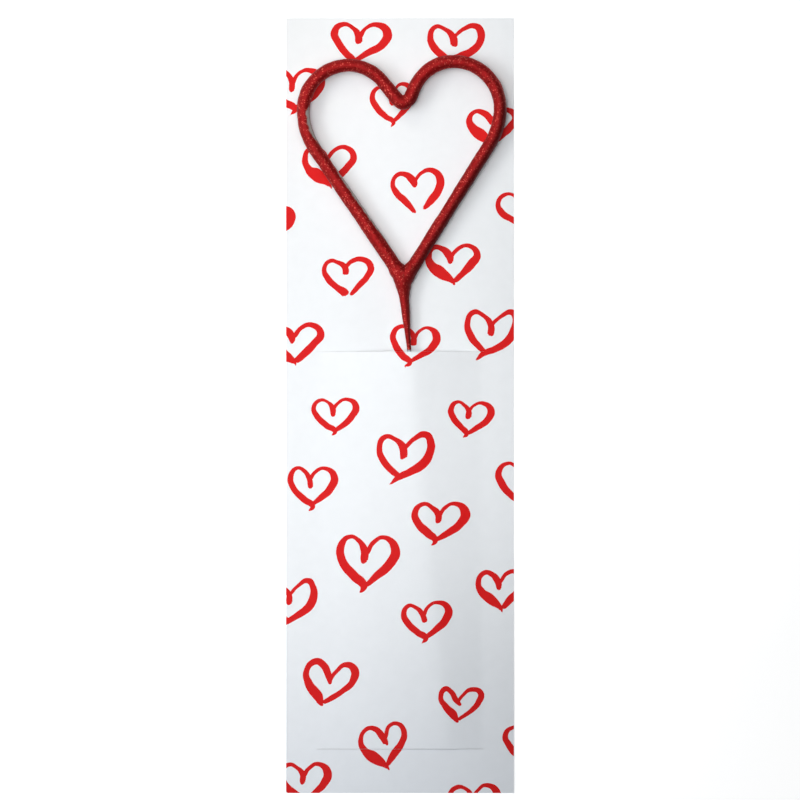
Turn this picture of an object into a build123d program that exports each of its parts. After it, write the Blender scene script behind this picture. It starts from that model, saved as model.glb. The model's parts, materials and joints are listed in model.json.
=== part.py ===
from build123d import *

import math
import os

# A heart sparkler tucked into its slit card. Sizes are in millimetres, angles in degrees.
# The card lies face up on the XY plane, centred on the origin, with its long side along Y.
# The sparkler has a frame of its own: its stem runs along Y, and its origin is on the stem's
# axis, level with the point where the heart's two arms meet.

# Card: one sheet of board with two straight knife cuts
card_width = 60.0
card_length = 204.0
card_thickness = 0.4
slit_width = 44.0
slit_kerf = 0.2
upper_slit_y = 14.2
lower_slit_y = -90.4
lower_slit_gape = 0.3

# Heart, on the wire's centreline, measured from the point where its arms meet. It is bent by
# hand, so its halves differ, and its left lobe is a little lower.
heart_height = 57.3
left_lobe_drop = 0.75
notch_depth = 10.5
notch_inside_radius = 0.35
left_half_width = 26.3
left_lobe_radius = 11.9
left_shoulder_radius = 18.3
left_notch_ramp = 5.9
right_half_width = 25.45
right_lobe_radius = 12.2
right_shoulder_radius = 17.5
right_notch_ramp = 2.7

# Steel wire
wire_radius = 0.5
wire_end_gap = 0.1
stem_length = 101.0
stem_bend_radius = 4.0
heart_offset = 0.57

# Dipped layers and the tapered tail that they leave on the stem
compound_thickness = 1.0
coat_thickness = 0.25
tail_neck_drop = 5.0
tail_neck_radius = 1.28
coat_tail_length = 18.5
coat_tail_skin = 0.1
compound_tail_length = 15.0
compound_tail_skin = 0.08

# How the sparkler lies on the card
heart_point_x = 0.7
heart_point_y = 32.9
heart_turn = 0.5
stem_lean = 5.4
lay_gap = 0.1
table_gap = 0.06
stem_clearance = 0.06

# Sizes that follow from those above
compound_radius = wire_radius + compound_thickness
coat_radius = compound_radius + coat_thickness
notch_radius = coat_radius + notch_inside_radius
heart_to_stem = stem_lean - heart_turn


def half_heart(half_width, height, depth, lobe_radius, shoulder_radius, notch_ramp):
    """The arm's angle and the path of one half, from the heart's point to the bottom of the notch.

    The path is straight runs (length, 0) and arcs (radius, turn), drawn as a left half, where a
    positive turn is to the left.
    """
    lobe_top_x = half_width - lobe_radius
    shoulder_x = half_width - shoulder_radius
    shoulder_y = height - lobe_radius
    reach = math.hypot(shoulder_x, shoulder_y)
    angle = math.degrees(math.atan2(shoulder_x, shoulder_y) + math.asin(shoulder_radius / reach))
    slope = 2 * math.atan2(depth, lobe_top_x + notch_ramp)
    inner_radius = (lobe_top_x - math.cos(slope) * notch_ramp) / math.sin(slope) - notch_radius
    path = [
        (math.sqrt(reach**2 - shoulder_radius**2), 0),
        (shoulder_radius, -angle),
        (lobe_radius, -90),
        (inner_radius, -math.degrees(slope)),
        (notch_ramp, 0),
        (notch_radius, math.degrees(slope)),
    ]
    return angle, path


left_arm_angle, left_half = half_heart(
    left_half_width,
    heart_height - left_lobe_drop,
    notch_depth - left_lobe_drop,
    left_lobe_radius,
    left_shoulder_radius,
    left_notch_ramp,
)
right_arm_angle, right_half = half_heart(
    right_half_width, heart_height, notch_depth, right_lobe_radius, right_shoulder_radius, right_notch_ramp
)

root_spread = 1 / math.cos(math.radians(max(left_arm_angle, right_arm_angle)))
coat_root_radius = coat_radius * root_spread
compound_root_radius = compound_radius * root_spread

heart_point_z = card_thickness + coat_root_radius + lay_gap
stem_pitch = math.degrees(math.asin((heart_point_z - wire_radius - table_gap) / stem_length))


def trace(start, heading, moves):
    """One tangent path from straight runs and arcs, heading so many degrees left of +Y."""
    point = Vector(*start)
    direction = Vector(0, 1, 0).rotate(Axis.Z, heading)
    edges = []
    for size, turn in moves:
        edge = JernArc(point, direction, size, turn) if turn else Line(point, point + direction * size)
        edges.append(edge)
        point, direction = edge @ 1, edge % 1
    return Wire(edges)


def tube(path, radius):
    """A round bar along a path."""
    return sweep(Plane(path @ 0, z_dir=path % 0) * Circle(radius), path=path)


def make_wire():
    """The whole wire: up the stem, round the heart from its left arm, and back against the stem."""
    left_turn = math.radians(left_arm_angle - heart_to_stem)
    right_turn = math.radians(right_arm_angle + heart_to_stem)
    corner_rise = heart_offset / math.tan(left_turn)
    corner_on_arm = heart_offset / math.sin(left_turn)
    bend_tangent = stem_bend_radius * math.tan(left_turn / 2)
    stop_reach = wire_radius * (1 + math.cos(right_turn)) + wire_end_gap - heart_offset
    stop_short = stop_reach / math.sin(right_turn)
    left_arm_length = left_half[0][0]
    right_arm_length = right_half[0][0]
    moves = [
        (stem_length + corner_rise - bend_tangent, 0),
        (stem_bend_radius, math.degrees(left_turn)),
        (left_arm_length - corner_on_arm - bend_tangent, 0),
        *left_half[1:],
        *reversed(right_half[1:]),
        (right_arm_length - stop_short, 0),
    ]
    return tube(trace((0, -stem_length), 0, moves), wire_radius)


def make_tail(root_radius, neck_radius, end_radius, length):
    """The round tail that a dip leaves on the stem, domed over the heart's point."""
    neck = Vector(neck_radius, -tail_neck_drop)
    end = Vector(end_radius, -length)
    root = Vector(root_radius, 0)
    outline = [
        Line((0, -length), end),
        Line(end, neck),
        TangentArc(neck, root, tangent=neck - end),
        CenterArc((0, 0), root_radius, 0, 90),
        Line((0, root_radius), (0, -length)),
    ]
    return revolve(make_face(outline), Axis.Y)


def make_dip(radius, tail):
    """A dipped layer with its inside still filled: both halves of the heart and the tail."""
    left = tube(trace((0, 0), left_arm_angle, left_half), radius)
    right = mirror(tube(trace((0, 0), right_arm_angle, right_half), radius), about=Plane.YZ)
    return Pos(heart_offset, 0, 0) * Rot(0, 0, -heart_to_stem) * (left + right) + tail


def make_sparkler():
    """Wire, compound and coat in the sparkler's own frame."""
    wire = make_wire()
    compound_tail = make_tail(
        compound_root_radius,
        tail_neck_radius - coat_thickness,
        wire_radius + compound_tail_skin,
        compound_tail_length,
    )
    coat_tail = make_tail(
        coat_root_radius, tail_neck_radius, wire_radius + coat_tail_skin, coat_tail_length
    )
    compound = make_dip(compound_radius, compound_tail)
    coat = make_dip(coat_radius, coat_tail)
    return {
        "core_wire": wire,
        "spark_compound": compound - wire,
        "red_coat": coat - compound - wire,
    }


def crown_over_stem(y):
    """Where the band's underside has to pass over the stem, as the crown's x and z."""
    drop = heart_point_y - y
    pitch = math.radians(stem_pitch)
    lean = math.radians(stem_lean)
    stem_z = heart_point_z - drop * math.tan(pitch) / math.cos(lean)
    return heart_point_x + drop * math.tan(lean), stem_z + wire_radius / math.cos(pitch) + stem_clearance


def ramp(start, run, rise, lift):
    """Two equal arcs that leave level, climb by rise over run and end level, offset up by lift."""
    bend = 2 * math.atan2(rise, run)
    radius = abs(run / (2 * math.sin(bend)))
    up = math.copysign(1, rise)
    first = JernArc(start, (1, 0), radius - up * lift, math.degrees(bend))
    second = JernArc(first @ 1, first % 1, radius + up * lift, -math.degrees(bend))
    return [first, second]


def band_section(y, crown_x, crown_z):
    """Cross-section of the arched band at y: board of even thickness, level at both sides."""
    side = slit_width / 2
    faces = []
    for lift in (0, card_thickness):
        rising = ramp((-side, lift), side + crown_x, crown_z, lift)
        falling = ramp(rising[-1] @ 1, side - crown_x, -crown_z, lift)
        faces.append(rising + falling)
    ends = [Line((x, 0), (x, card_thickness)) for x in (-side, side)]
    return Plane.XZ.offset(-y) * make_face([*faces[0], *faces[1], *ends])


def make_card():
    """The sheet, with the band between its slits bowed forward over the stem."""
    band_top = upper_slit_y - slit_kerf / 2
    band_bottom = lower_slit_y + slit_kerf / 2
    pocket_length = upper_slit_y - lower_slit_y + slit_kerf
    pocket_y = (upper_slit_y + lower_slit_y) / 2
    lift = card_thickness / 2
    sheet = Pos(0, 0, lift) * Box(card_width, card_length, card_thickness)
    pocket = Pos(0, pocket_y, lift) * Box(slit_width, pocket_length, card_thickness)

    top_x, top_z = crown_over_stem(band_top)
    bottom_x, bottom_z = crown_over_stem(band_bottom)
    sections = [
        band_section(band_top, top_x, top_z),
        band_section(band_bottom, bottom_x, max(bottom_z, lower_slit_gape)),
    ]
    return sheet - pocket + loft(sections, ruled=True)


def main():
    on_card = Pos(heart_point_x, heart_point_y, heart_point_z) * Rot(0, 0, stem_lean) * Rot(stem_pitch, 0, 0)
    nodes = {name: on_card * piece for name, piece in make_sparkler().items()}
    nodes["card"] = make_card()

    os.makedirs("parts", exist_ok=True)
    for name, piece in nodes.items():
        export_step(piece, f"parts/{name}.step")

    print(f"left arm {left_arm_angle:.2f}, right arm {right_arm_angle:.2f}")
    for name, path in (("left", left_half), ("right", right_half)):
        print(name, [(round(size, 2), round(turn, 1)) for size, turn in path])
    print(f"heart point z {heart_point_z:.3f}, stem pitch {stem_pitch:.3f}")
    slide_axis = (on_card * Pos(0, 1, 0)).position - on_card.position
    stem_end = (on_card * Pos(0, -stem_length, 0)).position
    print(f"slide axis {slide_axis}, stem end {stem_end}")
    print(f"way out of the slit {(upper_slit_y - stem_end.Y) / slide_axis.Y:.2f}")


main()
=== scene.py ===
import json
import math
import random

import bmesh
import bpy
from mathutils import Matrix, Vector, noise
from mathutils.bvhtree import BVHTree


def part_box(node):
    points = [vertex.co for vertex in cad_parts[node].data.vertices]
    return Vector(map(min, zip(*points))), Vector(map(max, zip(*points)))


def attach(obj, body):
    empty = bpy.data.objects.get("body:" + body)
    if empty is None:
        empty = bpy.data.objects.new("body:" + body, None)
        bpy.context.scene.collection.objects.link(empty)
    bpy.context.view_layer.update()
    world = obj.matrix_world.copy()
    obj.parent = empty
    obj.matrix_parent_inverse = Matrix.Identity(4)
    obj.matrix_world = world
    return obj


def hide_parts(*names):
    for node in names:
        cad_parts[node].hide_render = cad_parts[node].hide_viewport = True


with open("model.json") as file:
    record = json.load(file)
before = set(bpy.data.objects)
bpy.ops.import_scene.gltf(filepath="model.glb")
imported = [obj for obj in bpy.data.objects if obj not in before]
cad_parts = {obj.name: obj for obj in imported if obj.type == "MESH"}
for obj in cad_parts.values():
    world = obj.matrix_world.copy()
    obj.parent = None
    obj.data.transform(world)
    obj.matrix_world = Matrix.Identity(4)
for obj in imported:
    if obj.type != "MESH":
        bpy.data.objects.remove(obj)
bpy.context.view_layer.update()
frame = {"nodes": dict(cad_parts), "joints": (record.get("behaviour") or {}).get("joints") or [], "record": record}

mm = 0.001


# small helpers

def selectOnly(obj):
    bpy.ops.object.select_all(action="DESELECT")
    obj.select_set(True)
    bpy.context.view_layer.objects.active = obj


def pickFaces(obj, wanted):
    # in edit mode, selects the faces whose middle is wanted
    bpy.ops.mesh.select_all(action="DESELECT")
    mesh = bmesh.from_edit_mesh(obj.data)
    for face in mesh.faces:
        if wanted(face.calc_center_median()):
            face.select_set(True)
    bmesh.update_edit_mesh(obj.data)


def applyModifier(obj, kind, **settings):
    selectOnly(obj)
    modifier = obj.modifiers.new(kind.title(), kind)
    for name, value in settings.items():
        setattr(modifier, name, value)
    bpy.ops.object.modifier_apply(modifier=modifier.name)


def ramp(value, start, end):
    # 0 at start and 1 at end, held there beyond them
    return min(max((value - start) / (end - start), 0), 1)


def toLinear(hexColour):
    parts = [int(hexColour[i:i + 2], 16) / 255 for i in (1, 3, 5)]
    return [p / 12.92 if p <= 0.04045 else ((p + 0.055) / 1.055) ** 2.4 for p in parts] + [1.0]


def newMaterial(name):
    material = bpy.data.materials.new(name)
    material.use_nodes = True
    material.node_tree.nodes.clear()
    return material, material.node_tree


def addNode(tree, kind, inputs=None, **settings):
    # one node with its settings; an input is a value or another node's output
    node = tree.nodes.new(kind)
    for name, value in settings.items():
        setattr(node, name, value)
    for name, value in (inputs or {}).items():
        if isinstance(value, bpy.types.NodeSocket):
            tree.links.new(value, node.inputs[name])
        else:
            node.inputs[name].default_value = value
    return node


# card: one sheet of board, the band between its two slits bowed up over the stem

cardSpec = {
    "columns": 60,
    "rows": 102,
    "thickness": 0.4 * mm,
    "slitHalf": 22.0 * mm,
    "upperSlit": 14.2 * mm,
    "lowerSlit": -90.4 * mm,
    "upperKerf": 0.03 * mm,    # knife cuts, much finer than the solid's
    "lowerKerf": 0.10 * mm,
    "stemRoom": 0.56 * mm,     # from the stem's axis up to the band's underside
    "softEdge": 0.006 * mm,
    "edgeAngle": 60.0,         # degrees, edges sharper than this are softened
    "smoothAngle": 10.0,
    "ease": 0.10,              # share of each flank that bends
    "cutReach": 3.0 * mm,      # faces this near to a slit are cut
    "cutThreshold": 1e-7,
}

cardLow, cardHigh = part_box("card")
slideAxis = Vector(frame["joints"][0]["axis"])
stemEnd = Vector([m for m in frame["record"]["mounts"] if m["name"] == "stem"][0]["pos_m"])
bandTop = cardSpec["upperSlit"] - cardSpec["upperKerf"] / 2
bandFoot = cardSpec["lowerSlit"] + cardSpec["lowerKerf"] / 2


def stemAt(y):
    return stemEnd + slideAxis * ((y - stemEnd.y) / slideAxis.y)


def bandLift(x, y):
    # height of the bowed band above the flat sheet: a straight flank on each side of its crown,
    # eased at both ends
    side = cardSpec["slitHalf"]
    tiny = 0.001 * mm
    if abs(x) >= side or y > bandTop + tiny or y < bandFoot - tiny:
        return 0.0
    share = (y - bandFoot) / (bandTop - bandFoot)
    crown = stemAt(bandFoot).lerp(stemAt(bandTop), share)
    run = side + crown.x if x < crown.x else side - crown.x
    along = (side + x if x < crown.x else side - x) / run
    ease = cardSpec["ease"]
    near = min(along, 1 - along)
    rise = near ** 2 / (2 * ease) if near < ease else near - ease / 2
    rise = rise / (1 - ease)
    return (crown.z + cardSpec["stemRoom"]) * (rise if along < 0.5 else 1 - rise)


def cutSlits(obj):
    # in edit mode, cuts both slits through the faces that they cross and takes out the kerf
    side = cardSpec["slitHalf"]
    for name in ("upper", "lower"):
        slit, kerf = cardSpec[name + "Slit"], cardSpec[name + "Kerf"]
        for edge in (slit - kerf / 2, slit + kerf / 2):
            pickFaces(obj, lambda c: abs(c.x) < side and abs(c.y - slit) < cardSpec["cutReach"])
            bpy.ops.mesh.bisect(plane_co=(0, edge, 0), plane_no=(0, 1, 0), threshold=cardSpec["cutThreshold"])
        pickFaces(obj, lambda c: abs(c.x) < side and abs(c.y - slit) < kerf * 0.49)
        bpy.ops.mesh.delete(type="FACE")


bpy.ops.object.select_all(action="DESELECT")
bpy.context.tool_settings.mesh_select_mode = (False, False, True)
bpy.ops.mesh.primitive_grid_add(x_subdivisions=cardSpec["columns"], y_subdivisions=cardSpec["rows"], size=1)
board = bpy.context.object
board.name = "board"
board.scale = (cardHigh.x - cardLow.x, cardHigh.y - cardLow.y, 1)
board.location.z = cardSpec["thickness"]
bpy.ops.object.transform_apply(location=True, rotation=False, scale=True)
bpy.ops.object.mode_set(mode="EDIT")
cutSlits(board)
bpy.ops.object.mode_set(mode="OBJECT")
for vertex in board.data.vertices:
    vertex.co.z += bandLift(vertex.co.x, vertex.co.y)
print("card: sheet cut and bowed,", len(board.data.polygons), "faces")


# printed hearts: brush strokes laid on the board as a thin film of ink

printSpec = {
    "film": 0.012 * mm,        # ink's top above the board
    "inkDepth": 0.022 * mm,    # from the ink's top down into the coating
    "layerStep": 0.004 * mm,   # a heart's second stroke lies over its first
    "strokeClimb": 0.0035 * mm,
    "ragged": 0.10 * mm,       # how far the bristles wander
    "wander": ((1.6, 0.7), (0.6, 0.4)),    # size in millimetres and share of that way
    "cutMargin": 0.3 * mm,     # nearer to a slit or to the card's edge than this, they don't
    "edgeMargin": 0.2 * mm,
    "nibSteps": 4,
    "strokeSteps": 9,
    "endReach": 0.3,           # round ends of a stroke, in brush widths
    "endWidth": 0.45,
    "jitter": 0.012,           # the hand's shake, in heart widths
    "pressure": (0.98, 1.26),  # thinnest and broadest line, in brush widths
    "smoothAngle": 35.0,
    "seed": 11,
    # two strokes for each way of drawing a heart: x, y and brush width, for a heart 1 wide and 1 high
    "drawings": {
        "plain": (
            [(0.0, 0.02, 0.10), (0.0, 0.20, 0.10), (-0.10, 0.36, 0.07), (-0.27, 0.43, 0.07), (-0.44, 0.24, 0.10),
             (-0.38, 0.0, 0.12), (-0.18, -0.24, 0.12), (-0.01, -0.40, 0.10), (-0.06, -0.50, 0.02)],
            [(0.02, 0.16, 0.07), (0.11, 0.34, 0.06), (0.28, 0.44, 0.07), (0.44, 0.25, 0.14), (0.36, -0.02, 0.14),
             (0.17, -0.23, 0.10), (0.0, -0.38, 0.06)],
        ),
        "boxy": (
            [(0.0, 0.02, 0.12), (0.0, 0.21, 0.11), (-0.14, 0.37, 0.07), (-0.34, 0.42, 0.08), (-0.45, 0.20, 0.10),
             (-0.36, -0.06, 0.11), (-0.20, -0.26, 0.10), (-0.09, -0.36, 0.08)],
            [(0.02, 0.20, 0.06), (0.18, 0.37, 0.07), (0.38, 0.45, 0.10), (0.45, 0.32, 0.12), (0.44, 0.10, 0.13),
             (0.32, -0.10, 0.13), (0.08, -0.26, 0.11), (-0.13, -0.38, 0.09), (-0.26, -0.49, 0.02)],
        ),
        "open": (
            [(0.03, 0.12, 0.11), (-0.03, 0.23, 0.12), (-0.16, 0.37, 0.10), (-0.32, 0.36, 0.08), (-0.45, 0.20, 0.08),
             (-0.38, -0.02, 0.11), (-0.22, -0.23, 0.13), (-0.07, -0.46, 0.06)],
            [(0.01, 0.22, 0.06), (0.14, 0.39, 0.06), (0.30, 0.44, 0.08), (0.45, 0.26, 0.12), (0.40, 0.0, 0.14),
             (0.24, -0.22, 0.11), (0.11, -0.38, 0.06)],
        ),
        "gapped": (
            [(0.03, 0.08, 0.10), (0.01, 0.23, 0.10), (-0.12, 0.38, 0.08), (-0.30, 0.40, 0.08), (-0.45, 0.20, 0.09),
             (-0.38, -0.04, 0.11), (-0.22, -0.25, 0.12), (-0.04, -0.42, 0.13)],
            [(0.02, 0.22, 0.06), (0.15, 0.39, 0.07), (0.34, 0.44, 0.09), (0.45, 0.26, 0.12), (0.40, 0.0, 0.12),
             (0.22, -0.22, 0.10), (0.06, -0.42, 0.06)],
        ),
        "heavy": (
            [(0.04, 0.06, 0.08), (0.0, 0.22, 0.13), (-0.14, 0.38, 0.10), (-0.30, 0.40, 0.08), (-0.44, 0.20, 0.10),
             (-0.38, -0.02, 0.14), (-0.22, -0.19, 0.20), (0.0, -0.40, 0.08), (0.02, -0.46, 0.03)],
            [(0.05, 0.20, 0.07), (0.18, 0.39, 0.07), (0.34, 0.43, 0.08), (0.46, 0.24, 0.11), (0.36, 0.0, 0.13),
             (0.18, -0.18, 0.12), (0.03, -0.36, 0.08)],
        ),
        "slim": (
            [(0.02, -0.02, 0.05), (-0.03, 0.14, 0.11), (-0.14, 0.36, 0.11), (-0.28, 0.43, 0.11), (-0.43, 0.22, 0.10),
             (-0.36, -0.04, 0.12), (-0.20, -0.28, 0.15), (-0.10, -0.46, 0.06)],
            [(0.02, 0.06, 0.06), (0.13, 0.26, 0.07), (0.28, 0.40, 0.09), (0.44, 0.30, 0.12), (0.42, 0.06, 0.11),
             (0.24, -0.16, 0.09), (0.04, -0.32, 0.08), (-0.08, -0.42, 0.06)],
        ),
    },
    # middle, width and height in millimetres, tilt in degrees, shift of the notch and of the tip, and
    # the way it is drawn
    "hearts": [
        (-10.0, 95.3, 15.6, 11.5, 0, -0.06, -0.17, "plain"), (14.6, 94.7, 14.6, 11.5, 0, -0.04, 0, "boxy"),
        (-27.6, 82.8, 15.0, 12.5, -2, -0.07, 0, "plain"), (-1.7, 79.2, 11.8, 11.5, 6, -0.05, -0.05, "plain"),
        (24.3, 73.2, 13.5, 10.5, 0, -0.05, 0, "heavy"), (-18.6, 62.7, 14.2, 11.8, 0, -0.08, 0, "heavy"),
        (4.5, 56.5, 14.0, 12.0, 2, -0.05, 0, "open"), (31.7, 51.5, 13.0, 10.2, 6, 0, 0, "plain"),
        (-36.9, 47.8, 18.0, 8.5, 0, 0, 0, "boxy"), (14.0, 37.0, 14.0, 11.7, 0, -0.08, 0, "heavy"),
        (-13.7, 33.8, 13.5, 10.5, 0, -0.08, 0, "gapped"), (24.0, 18.6, 14.0, 13.5, -2, -0.02, 0, "boxy"),
        (3.8, 15.7, 13.2, 11.3, -3, -0.03, -0.10, "plain"), (-27.6, 16.0, 15.0, 11.5, 2, -0.08, -0.03, "heavy"),
        (-17.0, -2.8, 12.5, 10.0, 2, -0.05, -0.02, "plain"), (18.8, -3.5, 12.0, 10.0, -4, -0.08, -0.10, "plain"),
        (1.3, -13.9, 15.0, 13.5, 0, -0.03, 0, "boxy"), (-23.0, -21.7, 13.0, 12.0, 0, -0.06, 0, "plain"),
        (32.0, -20.7, 13.5, 13.0, 0, 0, 0, "plain"), (10.7, -30.9, 15.0, 11.5, 0, -0.05, -0.10, "plain"),
        (-8.5, -41.3, 16.5, 15.6, -3, -0.05, -0.04, "plain"), (26.7, -48.8, 13.0, 11.8, 0, -0.08, 0, "heavy"),
        (-28.5, -52.2, 13.5, 12.5, 4, -0.04, 0, "boxy"), (7.5, -56.8, 13.5, 11.0, 7, -0.10, -0.12, "plain"),
        (-18.6, -73.0, 14.6, 12.8, -4, 0, 0, "slim"), (16.3, -78.6, 11.8, 9.6, 2, -0.10, 0, "slim"),
        (-4.5, -89.9, 13.0, 13.2, 8, 0.02, 0.05, "heavy"), (-25.0, -99.5, 14.0, 11.5, 0, -0.05, 0, "plain"),
        (19.5, -105.0, 14.0, 11.0, 2, -0.04, 0, "plain"), (33.7, -89.4, 13.5, 11.0, 0, 0, 0, "plain"),
    ],
}

# a flat nib for the strokes: a straight profile in a few steps
nibCurve = bpy.data.curves.new("nib", "CURVE")
nibLine = nibCurve.splines.new("POLY")
nibLine.points.add(printSpec["nibSteps"])
for step, point in enumerate(nibLine.points):
    point.co = (step / printSpec["nibSteps"] - 0.5, 0, 0, 1)
nib = bpy.data.objects.new("nib", nibCurve)
bpy.context.scene.collection.objects.link(nib)

strokeCurve = bpy.data.curves.new("inkHearts", "CURVE")
strokeCurve.dimensions = "3D"
strokeCurve.twist_mode = "Z_UP"
strokeCurve.resolution_u = printSpec["strokeSteps"]
strokeCurve.bevel_mode = "OBJECT"
strokeCurve.bevel_object = nib
hand = random.Random(printSpec["seed"])
jitter = printSpec["jitter"]
for x, y, width, height, tilt, notch, tip, drawing in printSpec["hearts"]:
    turn = math.radians(tilt)
    for layer, stroke in enumerate(printSpec["drawings"][drawing]):
        # the brush lands and lifts with a round end
        ends = []
        for (u, v, brush), (nextU, nextV, _) in ((stroke[0], stroke[1]), (stroke[-1], stroke[-2])):
            past = brush * printSpec["endReach"] / math.hypot(u - nextU, v - nextV)
            ends.append((u + (u - nextU) * past, v + (v - nextV) * past, brush * printSpec["endWidth"]))
        stroke = [ends[0], *stroke, ends[1]]
        line = strokeCurve.splines.new("BEZIER")
        line.radius_interpolation = "CARDINAL"
        line.bezier_points.add(len(stroke) - 1)
        for step, (point, (u, v, brush)) in enumerate(zip(line.bezier_points, stroke)):
            # the notch and the tip sit a little to one side
            slant = (1 - 4 * u * u) * (notch * ramp(v, -0.1, 0.05) - tip * min(v, 0) * 2)
            across = (u + slant + hand.uniform(-jitter, jitter)) * width
            up = (v + hand.uniform(-jitter, jitter)) * height
            px = x + across * math.cos(turn) - up * math.sin(turn)
            py = y + across * math.sin(turn) + up * math.cos(turn)
            # each stroke climbs a hair as it goes, so ink never lies in the same plane twice
            pz = printSpec["layerStep"] * layer + printSpec["strokeClimb"] * step / len(stroke)
            point.co = (px * mm, py * mm, pz)
            point.radius = brush * width * mm * hand.uniform(*printSpec["pressure"])
            point.handle_left_type = point.handle_right_type = "AUTO"

ink = bpy.data.objects.new("inkHearts", strokeCurve)
bpy.context.scene.collection.objects.link(ink)
selectOnly(ink)
bpy.ops.object.convert(target="MESH")
ink = bpy.context.object
bpy.data.objects.remove(nib)
print("print: strokes made,", len(ink.data.polygons), "faces")

# cut off at the card's edges and at the slits
bpy.ops.object.mode_set(mode="EDIT")
reach = cardHigh - Vector((1, 1, 0)) * cardSpec["softEdge"]
for side in (1, -1):
    for edge, normal in (((side * reach.x, 0, 0), (side, 0, 0)), ((0, side * reach.y, 0), (0, side, 0))):
        bpy.ops.mesh.select_all(action="SELECT")
        bpy.ops.mesh.bisect(plane_co=edge, plane_no=normal, clear_outer=True, threshold=cardSpec["cutThreshold"])
cutSlits(ink)
bpy.ops.object.mode_set(mode="OBJECT")

noise.seed_set(printSpec["seed"])    # without it noise_vector differs from run to run
for vertex in ink.data.vertices:
    wander = Vector()
    for size, share in printSpec["wander"]:
        wander += noise.noise_vector(vertex.co / (size * mm)) * share
    # ink stays on its own side of the cuts and on the card
    nearCut = min(abs(vertex.co.y - cardSpec["upperSlit"]), abs(vertex.co.y - cardSpec["lowerSlit"]))
    nearEdge = min(cardHigh.x - abs(vertex.co.x), cardHigh.y - abs(vertex.co.y))
    if nearCut > printSpec["cutMargin"] and nearEdge > printSpec["edgeMargin"]:
        vertex.co.x += wander.x * printSpec["ragged"]
        vertex.co.y += wander.y * printSpec["ragged"]
    lift = bandLift(vertex.co.x, vertex.co.y)
    vertex.co.z += cardSpec["thickness"] + lift + printSpec["film"]

mesh = bmesh.new()
mesh.from_mesh(ink.data)
mesh.normal_update()
for face in mesh.faces:
    if face.normal.z < 0:
        face.normal_flip()
mesh.to_mesh(ink.data)
mesh.free()
print("print: laid on the card,", len(ink.data.polygons), "faces")


# red coat: the dip's outer skin, thickened and thinned in listed places and lumpy as it dried

coatSpec = {
    "weld": 0.002 * mm,          # the solid's loose triangles are merged where they are this near
    "skinFacing": 0.2,           # faces turned from the wire by more than this are the outer skin
    "voxel": 0.2 * mm,
    "smoothing": 8,
    "lumps": ((7.0, 0.24), (2.2, 0.14), (0.7, 0.07)),    # size and height in millimetres
    # places on the card where the dip is thicker or thinner: x, y, reach and amount in millimetres
    "swells": (
        (-3.5, 38.0, 9.0, 0.12), (-8.0, 44.5, 8.0, 0.20), (-13.5, 52.5, 8.0, 0.12), (-20.5, 62.0, 8.0, -0.06),
        (6.5, 41.5, 9.0, -0.06), (12.0, 50.0, 9.0, -0.12), (18.0, 59.0, 9.0, -0.08), (23.4, 84.6, 0.9, -0.30),
        (0.9, 32.2, 4.5, 0.35), (0.6, 77.3, 3.0, 0.40), (1.3, 36.3, 2.5, 0.50), (-2.3, 35.6, 3.0, 0.18),
        (-2.0, 34.2, 2.4, 0.45), (10.6, 87.3, 0.7, 0.50),
    ),
    # pale grey streaks on flanks facing right: from and to across the card, then along it,
    # each with the degrees down the side at which the grey starts
    "greyStreaks": (
        (-30.0, 0.5, (67.4, 30.0), (79.4, 20.0)),
        (-30.0, 0.5, (38.0, 54.0), (64.6, 34.0)),
    ),
    "streakWidth": 58.0,         # degrees round the bar
    "streakEnds": (0.35, 0.2),   # shares of its length over which a streak narrows, below and above
    "streakDrift": 0.6,          # share of the lost width that goes at its upper side
    "streakRagged": ((2.0, 10.0), (0.6, 8.0)),    # size in millimetres and height in degrees
    "streakBlend": 14.0,         # degrees over which red turns to grey
    # painted shade: a darker red on flanks facing right, away from the lamps, from where it starts to darken to where
    # it is darkest: across the card, along it, and by how far the skin faces right
    "rightFlankShade": ((-1.5, 4.0), (87.0, 77.0), (-0.35, 0.75)),
    "join": (0.9, 34.6, 7.0),    # where the arms meet, and how far round it the dip has run smooth
    "joinSmoothing": 60,
}

wireTree = BVHTree.FromObject(frame["nodes"]["core_wire"], bpy.context.evaluated_depsgraph_get())
bpy.ops.object.select_all(action="DESELECT")
coat = bpy.data.objects.new("glitterCoat", frame["nodes"]["red_coat"].data.copy())
bpy.context.scene.collection.objects.link(coat)
selectOnly(coat)
bpy.ops.object.mode_set(mode="EDIT")
bpy.ops.mesh.select_all(action="SELECT")
bpy.ops.mesh.remove_doubles(threshold=coatSpec["weld"])
mesh = bmesh.from_edit_mesh(coat.data)
mesh.normal_update()
bpy.ops.mesh.select_all(action="DESELECT")
for face in mesh.faces:
    middle = face.calc_center_median()
    outward = (middle - wireTree.find_nearest(middle)[0]).normalized().dot(face.normal)
    if outward < coatSpec["skinFacing"]:
        face.select_set(True)
bmesh.update_edit_mesh(coat.data)
bpy.ops.mesh.delete(type="FACE")
bpy.context.tool_settings.mesh_select_mode = (False, True, False)
bpy.ops.mesh.select_all(action="DESELECT")
bpy.ops.mesh.select_non_manifold()
bpy.ops.mesh.edge_face_add()
bpy.context.tool_settings.mesh_select_mode = (False, False, True)
bpy.ops.object.mode_set(mode="OBJECT")
print("coat: outer skin kept,", len(coat.data.polygons), "faces")

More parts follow.
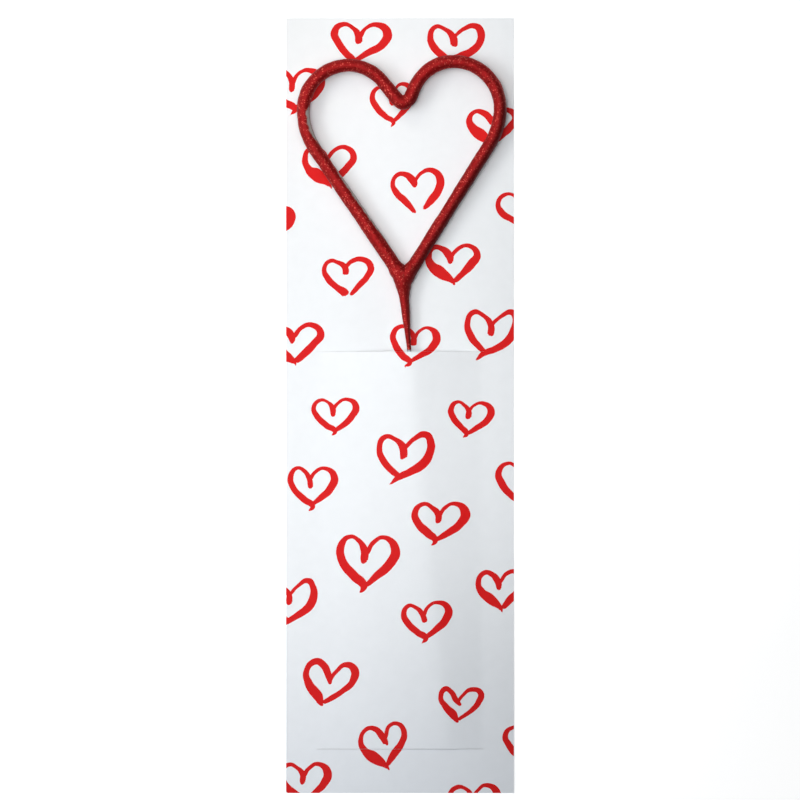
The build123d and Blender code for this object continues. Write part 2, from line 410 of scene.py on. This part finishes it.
applyModifier(coat, "REMESH", mode="VOXEL", voxel_size=coatSpec["voxel"])
applyModifier(coat, "SMOOTH", factor=0.5, iterations=coatSpec["smoothing"])
joinX, joinY, joinReach = coatSpec["join"]
group = coat.vertex_groups.new(name="join")
for vertex in coat.data.vertices:
    away = math.hypot(vertex.co.x / mm - joinX, vertex.co.y / mm - joinY) / joinReach
    if away < 1:
        group.add([vertex.index], 1 - away, "REPLACE")
applyModifier(coat, "SMOOTH", factor=0.5, iterations=coatSpec["joinSmoothing"], vertex_group="join")
coat.vertex_groups.clear()
mesh = bmesh.new()
mesh.from_mesh(coat.data)
mesh.normal_update()
moves = []
for vertex in mesh.verts:
    amount = 0.0
    for x, y, reach, swell in coatSpec["swells"]:
        away = math.hypot(vertex.co.x - x * mm, vertex.co.y - y * mm) / (reach * mm)
        if away < 1:
            amount += swell * (1 - away ** 2) ** 2
    moves.append(vertex.normal * amount * mm)
for vertex, move in zip(mesh.verts, moves):
    vertex.co += move
mesh.to_mesh(coat.data)
mesh.free()
for size, height in coatSpec["lumps"]:
    lumps = bpy.data.textures.new("dipLumps", "CLOUDS")
    lumps.noise_scale = size * mm
    lumps.noise_depth = 1
    applyModifier(coat, "DISPLACE", texture=lumps, texture_coords="LOCAL", strength=height * mm, mid_level=0.5)
    bpy.data.textures.remove(lumps)
# painted shade: how much darker red a point gets, by where it lies and how far its skin faces right
rightFlankShade = coat.data.attributes.new("rightFlankShade", "FLOAT", "POINT")
shadeAcross, shadeAlong, shadeFacing = coatSpec["rightFlankShade"]
for vertex in coat.data.vertices:
    out = (vertex.co - wireTree.find_nearest(vertex.co)[0]).normalized()
    amount = ramp(vertex.co.x / mm, *shadeAcross) * ramp(vertex.co.y / mm, *shadeAlong)
    rightFlankShade.data[vertex.index].value = amount * ramp(out.x, *shadeFacing)
# a pale grey streak along the flanks facing right, at the listed places
greyStreak = coat.data.attributes.new("greyStreak", "FLOAT", "POINT")
fullWidth = coatSpec["streakWidth"]
lowEnd, highEnd = coatSpec["streakEnds"]
for vertex in coat.data.vertices:
    x, y = vertex.co.x / mm, vertex.co.y / mm
    for left, right, (low, lowAngle), (high, highAngle) in coatSpec["greyStreaks"]:
        share = (y - low) / (high - low)
        if left < x < right and 0 < share < 1:
            out = vertex.co - wireTree.find_nearest(vertex.co)[0]
            down = math.degrees(math.atan2(math.copysign(math.hypot(out.x, out.y), out.x), out.z))
            start = lowAngle + (highAngle - lowAngle) * share
            width = fullWidth * min(share / lowEnd, (1 - share) / highEnd, 1)
            start += (fullWidth - width) * coatSpec["streakDrift"]
            inside = min(down - start, start + width - down)
            for size, height in coatSpec["streakRagged"]:
                inside += height * noise.noise(vertex.co / (size * mm))
            greyStreak.data[vertex.index].value = ramp(inside, 0, coatSpec["streakBlend"])
selectOnly(coat)
bpy.ops.object.shade_smooth()
print("coat: lumps raised,", len(coat.data.polygons), "faces")


# finish the sheet and the ink with their thickness

applyModifier(board, "SOLIDIFY", thickness=cardSpec["thickness"], offset=-1, use_even_offset=True,
              material_offset=2, material_offset_rim=1)
applyModifier(board, "BEVEL", width=cardSpec["softEdge"], segments=2, limit_method="ANGLE",
              angle_limit=math.radians(cardSpec["edgeAngle"]))
applyModifier(ink, "SOLIDIFY", thickness=printSpec["inkDepth"], offset=-1)
for piece, spec in ((board, cardSpec), (ink, printSpec)):
    selectOnly(piece)
    bpy.ops.object.shade_smooth_by_angle(angle=math.radians(spec["smoothAngle"]))
print("card and print: thickness given,", len(board.data.polygons), "and", len(ink.data.polygons), "faces")


# materials

# coated card stock: smooth satin white, a faint cloudiness from the fibres under the coating
coatedBoard, tree = newMaterial("coatedCardStock")
place = addNode(tree, "ShaderNodeTexCoord").outputs["Object"]
cloud = addNode(tree, "ShaderNodeTexNoise", {"Vector": place, "Scale": 1 / (3.0 * mm), "Detail": 3.0})
fibre = addNode(tree, "ShaderNodeTexNoise", {"Vector": place, "Scale": 1 / (0.35 * mm), "Detail": 2.0})
tone = addNode(tree, "ShaderNodeMix", {0: cloud.outputs["Fac"], 6: toLinear("#F0F3F6"), 7: toLinear("#F5F8FB")},
               data_type="RGBA")
gloss = addNode(tree, "ShaderNodeMapRange", {"Value": fibre.outputs["Fac"], "To Min": 0.40, "To Max": 0.52})
bump = addNode(tree, "ShaderNodeBump", {"Height": fibre.outputs["Fac"], "Strength": 0.10, "Distance": 0.01 * mm})
shader = addNode(tree, "ShaderNodeBsdfPrincipled", {"Base Color": tone.outputs[2], "Roughness": gloss.outputs["Result"],
                                                    "IOR": 1.45, "Normal": bump.outputs["Normal"]})
addNode(tree, "ShaderNodeOutputMaterial", {"Surface": shader.outputs["BSDF"]})

# knife-cut board edge: matt, a little darker, in fine layers
boardEdge, tree = newMaterial("cutBoardEdge")
place = addNode(tree, "ShaderNodeTexCoord").outputs["Object"]
layered = addNode(tree, "ShaderNodeMapping", {"Vector": place, "Scale": (0.15, 0.15, 1.0)})
fibre = addNode(tree, "ShaderNodeTexNoise", {"Vector": layered.outputs["Vector"], "Scale": 1 / (0.08 * mm),
                                             "Detail": 3.0})
tone = addNode(tree, "ShaderNodeMix", {0: fibre.outputs["Fac"], 6: toLinear("#D8D6D0"), 7: toLinear("#F2F1EC")},
               data_type="RGBA")
bump = addNode(tree, "ShaderNodeBump", {"Height": fibre.outputs["Fac"], "Strength": 0.4, "Distance": 0.02 * mm})
shader = addNode(tree, "ShaderNodeBsdfPrincipled", {"Base Color": tone.outputs[2], "Roughness": 0.85,
                                                    "Normal": bump.outputs["Normal"]})
addNode(tree, "ShaderNodeOutputMaterial", {"Surface": shader.outputs["BSDF"]})

# uncoated board back: matt warm white with short fibres and a few darker flecks
boardBack, tree = newMaterial("uncoatedBoardBack")
place = addNode(tree, "ShaderNodeTexCoord").outputs["Object"]
grain = addNode(tree, "ShaderNodeMapping", {"Vector": place, "Scale": (1.0, 0.3, 1.0)})
fibre = addNode(tree, "ShaderNodeTexNoise", {"Vector": grain.outputs["Vector"], "Scale": 1 / (0.5 * mm), "Detail": 4.0})
fleck = addNode(tree, "ShaderNodeTexVoronoi", {"Vector": grain.outputs["Vector"], "Scale": 1 / (2.5 * mm)})
spot = addNode(tree, "ShaderNodeMapRange", {"Value": fleck.outputs["Distance"], "From Min": 0.03, "From Max": 0.07,
                                            "To Min": 0.8, "To Max": 0.0})
tone = addNode(tree, "ShaderNodeMix", {0: fibre.outputs["Fac"], 6: toLinear("#E2E0DA"), 7: toLinear("#F1F0EC")},
               data_type="RGBA")
flecked = addNode(tree, "ShaderNodeMix", {0: spot.outputs["Result"], 6: tone.outputs[2], 7: toLinear("#C9C3B8")},
                  data_type="RGBA")
bump = addNode(tree, "ShaderNodeBump", {"Height": fibre.outputs["Fac"], "Strength": 0.35, "Distance": 0.02 * mm})
shader = addNode(tree, "ShaderNodeBsdfPrincipled", {"Base Color": flecked.outputs[2], "Roughness": 0.8,
                                                    "Normal": bump.outputs["Normal"]})
addNode(tree, "ShaderNodeOutputMaterial", {"Surface": shader.outputs["BSDF"]})

# offset ink on coated board: flat bright red, very slightly uneven in density
heartInk, tree = newMaterial("redOffsetInk")
place = addNode(tree, "ShaderNodeTexCoord").outputs["Object"]
density = addNode(tree, "ShaderNodeTexNoise", {"Vector": place, "Scale": 1 / (1.2 * mm), "Detail": 4.0})
tone = addNode(tree, "ShaderNodeMix", {0: density.outputs["Fac"], 6: toLinear("#DA191A"), 7: toLinear("#E61F1F")},
               data_type="RGBA")
shader = addNode(tree, "ShaderNodeBsdfPrincipled", {"Base Color": tone.outputs[2], "Roughness": 0.55, "IOR": 1.45,
                                                    "Specular IOR Level": 0.1})
addNode(tree, "ShaderNodeOutputMaterial", {"Surface": shader.outputs["BSDF"]})

# glitter lacquer over a grainy dip: deep red, its fine metal flakes each tilted their own way and coloured lighter
# as painted glints, painted shade in a darker red on flanks facing right, and pale grey streaks in listed places
lacquer, tree = newMaterial("redGlitterLacquer")
place = addNode(tree, "ShaderNodeTexCoord").outputs["Object"]
patch = addNode(tree, "ShaderNodeTexNoise", {"Vector": place, "Scale": 1 / (2.5 * mm), "Detail": 3.0})
grain = addNode(tree, "ShaderNodeTexNoise", {"Vector": place, "Scale": 1 / (0.30 * mm), "Detail": 2.0})
# flakes are drawn about 0.25 mm across, coarser than real ones, so that they show
flakes = addNode(tree, "ShaderNodeTexVoronoi", {"Vector": place, "Scale": 1 / (0.25 * mm)})
pick = addNode(tree, "ShaderNodeSeparateColor", {"Color": flakes.outputs["Color"]})
flakeGlintMask = addNode(tree, "ShaderNodeMapRange", {"Value": pick.outputs["Red"], "From Min": 0.89, "From Max": 0.95})
tone = addNode(tree, "ShaderNodeMix", {0: patch.outputs["Fac"], 6: toLinear("#890A0C"), 7: toLinear("#A10E10")},
               data_type="RGBA")
# painted glint: flakes are coloured a lighter red, standing in for the light they catch; their tilted normals also
# catch real light
toneWithPaintedGlints = addNode(tree, "ShaderNodeMix", {0: flakeGlintMask.outputs["Result"], 6: tone.outputs[2], 7: toLinear("#D9574C")},
                  data_type="RGBA")
paintedShade = addNode(tree, "ShaderNodeAttribute", attribute_name="rightFlankShade")
# painted shade: the darker red laid on flanks facing right, away from the lamps
glitter = addNode(tree, "ShaderNodeMix", {0: paintedShade.outputs["Fac"], 6: toneWithPaintedGlints.outputs[2], 7: toLinear("#5A0507")},
                  data_type="RGBA")
greyStreaks = addNode(tree, "ShaderNodeAttribute", attribute_name="greyStreak")
grey = addNode(tree, "ShaderNodeMix", {0: grain.outputs["Fac"], 6: toLinear("#9C9692"), 7: toLinear("#BEB8B4")},
               data_type="RGBA")
skin = addNode(tree, "ShaderNodeMix", {0: greyStreaks.outputs["Fac"], 6: glitter.outputs[2], 7: grey.outputs[2]},
               data_type="RGBA")
metal = addNode(tree, "ShaderNodeMapRange", {"Value": greyStreaks.outputs["Fac"], "To Min": 0.6, "To Max": 0.0})
rough = addNode(tree, "ShaderNodeMapRange", {"Value": greyStreaks.outputs["Fac"], "To Min": 0.55, "To Max": 0.8})
tilt = addNode(tree, "ShaderNodeVectorMath", {0: flakes.outputs["Color"], 1: (0.5, 0.5, 0.5)}, operation="SUBTRACT")
lean = addNode(tree, "ShaderNodeVectorMath", {0: tilt.outputs["Vector"], "Scale": 0.30}, operation="SCALE")
bump = addNode(tree, "ShaderNodeBump", {"Height": grain.outputs["Fac"], "Strength": 0.3, "Distance": 0.05 * mm})
faced = addNode(tree, "ShaderNodeVectorMath", {0: bump.outputs["Normal"], 1: lean.outputs["Vector"]}, operation="ADD")
normal = addNode(tree, "ShaderNodeVectorMath", {0: faced.outputs["Vector"]}, operation="NORMALIZE")
shader = addNode(tree, "ShaderNodeBsdfPrincipled", {
    "Base Color": skin.outputs[2], "Metallic": metal.outputs["Result"], "Roughness": rough.outputs["Result"],
    "Specular IOR Level": 0.3, "Normal": normal.outputs["Vector"]})
addNode(tree, "ShaderNodeOutputMaterial", {"Surface": shader.outputs["BSDF"]})

# drawn steel wire: grey, fine scratches along the wire, a few dull spots
drawnSteel, tree = newMaterial("drawnSteelWire")
place = addNode(tree, "ShaderNodeTexCoord").outputs["Object"]
along = addNode(tree, "ShaderNodeMapping", {"Vector": place, "Scale": (1.0, 0.02, 1.0)})
scratch = addNode(tree, "ShaderNodeTexNoise", {"Vector": along.outputs["Vector"], "Scale": 1 / (0.06 * mm),
                                               "Detail": 2.0})
dull = addNode(tree, "ShaderNodeTexNoise", {"Vector": place, "Scale": 1 / (1.5 * mm), "Detail": 4.0})
tone = addNode(tree, "ShaderNodeMix", {0: dull.outputs["Fac"], 6: toLinear("#77757A"), 7: toLinear("#A9A8AB")},
               data_type="RGBA")
gloss = addNode(tree, "ShaderNodeMapRange", {"Value": scratch.outputs["Fac"], "To Min": 0.25, "To Max": 0.45})
bump = addNode(tree, "ShaderNodeBump", {"Height": scratch.outputs["Fac"], "Strength": 0.2, "Distance": 0.01 * mm})
shader = addNode(tree, "ShaderNodeBsdfPrincipled", {"Base Color": tone.outputs[2], "Metallic": 1.0,
                                                    "Roughness": gloss.outputs["Result"],
                                                    "Normal": bump.outputs["Normal"]})
addNode(tree, "ShaderNodeOutputMaterial", {"Surface": shader.outputs["BSDF"]})

# spark compound: dull grey paste full of metal grit
sparkPaste, tree = newMaterial("greySparkCompound")
place = addNode(tree, "ShaderNodeTexCoord").outputs["Object"]
grit = addNode(tree, "ShaderNodeTexVoronoi", {"Vector": place, "Scale": 1 / (0.25 * mm)})
bright = addNode(tree, "ShaderNodeSeparateColor", {"Color": grit.outputs["Color"]})
tone = addNode(tree, "ShaderNodeMix", {0: bright.outputs["Red"], 6: toLinear("#3E3E42"), 7: toLinear("#77777C")},
               data_type="RGBA")
bump = addNode(tree, "ShaderNodeBump", {"Height": grit.outputs["Distance"], "Strength": 0.6, "Distance": 0.05 * mm})
shader = addNode(tree, "ShaderNodeBsdfPrincipled", {"Base Color": tone.outputs[2], "Roughness": 0.8,
                                                    "Normal": bump.outputs["Normal"]})
addNode(tree, "ShaderNodeOutputMaterial", {"Surface": shader.outputs["BSDF"]})

board.data.materials.clear()
for material in (coatedBoard, boardEdge, boardBack):
    board.data.materials.append(material)
for piece, material in ((ink, heartInk), (coat, lacquer)):
    piece.data.materials.clear()
    piece.data.materials.append(material)
frame["nodes"]["core_wire"].material_slots[0].material = drawnSteel
frame["nodes"]["spark_compound"].material_slots[0].material = sparkPaste
print("materials: given")

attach(board, "card")
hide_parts("card")
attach(ink, "card")
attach(coat, "sparkler")
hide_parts("red_coat")


# studio: white floor, soft light mostly from the left and above, small fills at the card's head and foot
# and one low on the right, camera straight above

studioSpec = {
    # place, aim, length, width, spread in degrees and watts
    "lamps": {
        "windowStrip": ((-0.202, 0.016, 0.197), (0.037, 0.034, 0.0), 0.375, 0.083, 56, 0.0578),
        "softBox": ((-0.121, 0.071, 0.183), (-0.079, 0.050, 0.0), 0.264, 0.249, 52, 0.0305),
        "overheadSoft": ((-0.036, 0.022, 0.233), (-0.023, 0.017, 0.0), 0.277, 0.089, 53, 0.0388),
        "lowKicker": ((0.161, -0.018, 0.033), (0.014, -0.018, 0.001), 0.070, 0.015, 30, 0.0035),
        "footFill": ((-0.020, -0.200, 0.120), (-0.008, -0.112, 0.0), 0.120, 0.060, 50, 0.0034),
        "headFill": ((-0.090, 0.200, 0.120), (-0.030, 0.088, 0.0), 0.120, 0.060, 44, 0.0045),
    },
    "tints": {"footFill": (0.58, 0.72, 1.0), "headFill": (1.0, 0.88, 0.68)},    # the others are white
    "skySide": (-0.647, 0.315, 0.695),    # the brightest side of the surrounding light
    "skyLow": 0.0,
    "skyHigh": 0.598,
    "skyColour": (0.96, 0.985, 1.0, 1.0),
    "floorSize": 12.0,
    "floorGap": 0.05 * mm,       # below the card
    "floorGlow": 0.66,           # lifts the paper to white where it is seen
    "coverMargin": 1.0 * mm,     # the glow stops this far under the card's edges
    "frameWidth": 210.53 * mm,
    "lens": 300.0,
    "sensor": 36.0,
    "clip": (0.01, 100.0),
    "aimY": 1.45 * mm,
}

bpy.ops.object.select_all(action="DESELECT")
bpy.ops.mesh.primitive_plane_add(size=studioSpec["floorSize"], location=(0, 0, -studioSpec["floorGap"]))
floor = bpy.context.object
floor.name = "floor"
# matt paper sweep, white round the card and unlifted under it, so that the cuts look dark
paper, tree = newMaterial("whitePaperSweep")
rays = addNode(tree, "ShaderNodeLightPath")
mirrored = addNode(tree, "ShaderNodeMath", {0: rays.outputs["Is Glossy Ray"], 1: rays.outputs["Is Transmission Ray"]},
                   operation="MAXIMUM")
seen = addNode(tree, "ShaderNodeMath", {0: rays.outputs["Is Camera Ray"], 1: mirrored.outputs["Value"]},
               operation="MAXIMUM")
place = addNode(tree, "ShaderNodeTexCoord").outputs["Object"]
fromMiddle = addNode(tree, "ShaderNodeVectorMath", {0: place}, operation="ABSOLUTE")
margin = studioSpec["coverMargin"]
covered = (cardHigh.x - margin, cardHigh.y - margin, 1)
beside = addNode(tree, "ShaderNodeVectorMath", {0: fromMiddle.outputs["Vector"], 1: covered}, operation="SUBTRACT")
apart = addNode(tree, "ShaderNodeSeparateXYZ", {0: beside.outputs["Vector"]})
clear = addNode(tree, "ShaderNodeMath", {0: apart.outputs["X"], 1: apart.outputs["Y"]}, operation="MAXIMUM")
outside = addNode(tree, "ShaderNodeMath", {0: clear.outputs["Value"], 1: 0.0}, operation="GREATER_THAN")
underside = addNode(tree, "ShaderNodeNewGeometry").outputs["Backfacing"]
uncovered = addNode(tree, "ShaderNodeMath", {0: outside.outputs["Value"], 1: underside}, operation="MAXIMUM")
shown = addNode(tree, "ShaderNodeMath", {0: seen.outputs["Value"], 1: uncovered.outputs["Value"]}, operation="MULTIPLY")
glow = addNode(tree, "ShaderNodeMath", {0: shown.outputs["Value"], 1: studioSpec["floorGlow"]}, operation="MULTIPLY")
matt = addNode(tree, "ShaderNodeBsdfDiffuse", {"Color": toLinear("#E7E7E7")})
white = addNode(tree, "ShaderNodeEmission", {"Strength": glow.outputs["Value"]})
both = addNode(tree, "ShaderNodeAddShader", {0: matt.outputs["BSDF"], 1: white.outputs["Emission"]})
addNode(tree, "ShaderNodeOutputMaterial", {"Surface": both.outputs["Shader"]})
floor.data.materials.append(paper)

for name, (place, aim, length, width, spread, watts) in studioSpec["lamps"].items():
    bpy.ops.object.light_add(type="AREA", location=place)
    lamp = bpy.context.object
    lamp.name = name
    lamp.rotation_euler = (Vector(aim) - Vector(place)).to_track_quat("-Z", "Y").to_euler()
    lamp.data.shape = "RECTANGLE"
    lamp.data.size = length
    lamp.data.size_y = width
    lamp.data.spread = math.radians(spread)
    lamp.data.energy = watts
    lamp.data.color = studioSpec["tints"].get(name, (1.0, 1.0, 1.0))

world = bpy.data.worlds.new("studio")
world.use_nodes = True
world.node_tree.nodes.clear()
tree = world.node_tree
around = addNode(tree, "ShaderNodeTexCoord").outputs["Generated"]
facing = addNode(tree, "ShaderNodeVectorMath", {0: around, 1: studioSpec["skySide"]}, operation="DOT_PRODUCT")
glow = addNode(tree, "ShaderNodeMapRange", {"Value": facing.outputs["Value"], "To Min": studioSpec["skyLow"],
                                            "To Max": studioSpec["skyHigh"]})
sky = addNode(tree, "ShaderNodeBackground", {"Color": studioSpec["skyColour"], "Strength": glow.outputs["Result"]})
addNode(tree, "ShaderNodeOutputWorld", {"Surface": sky.outputs["Background"]})
bpy.context.scene.world = world

bpy.ops.object.camera_add(location=(0, studioSpec["aimY"], cardSpec["thickness"]), rotation=(0, 0, 0))
camera = bpy.context.object
camera.data.sensor_width = studioSpec["sensor"]
camera.data.lens = studioSpec["lens"]
camera.location.z += studioSpec["frameWidth"] * studioSpec["lens"] / studioSpec["sensor"]
camera.data.clip_start, camera.data.clip_end = studioSpec["clip"]
bpy.context.scene.camera = camera
bpy.context.scene.view_settings.view_transform = "Standard"
print("studio: lit")
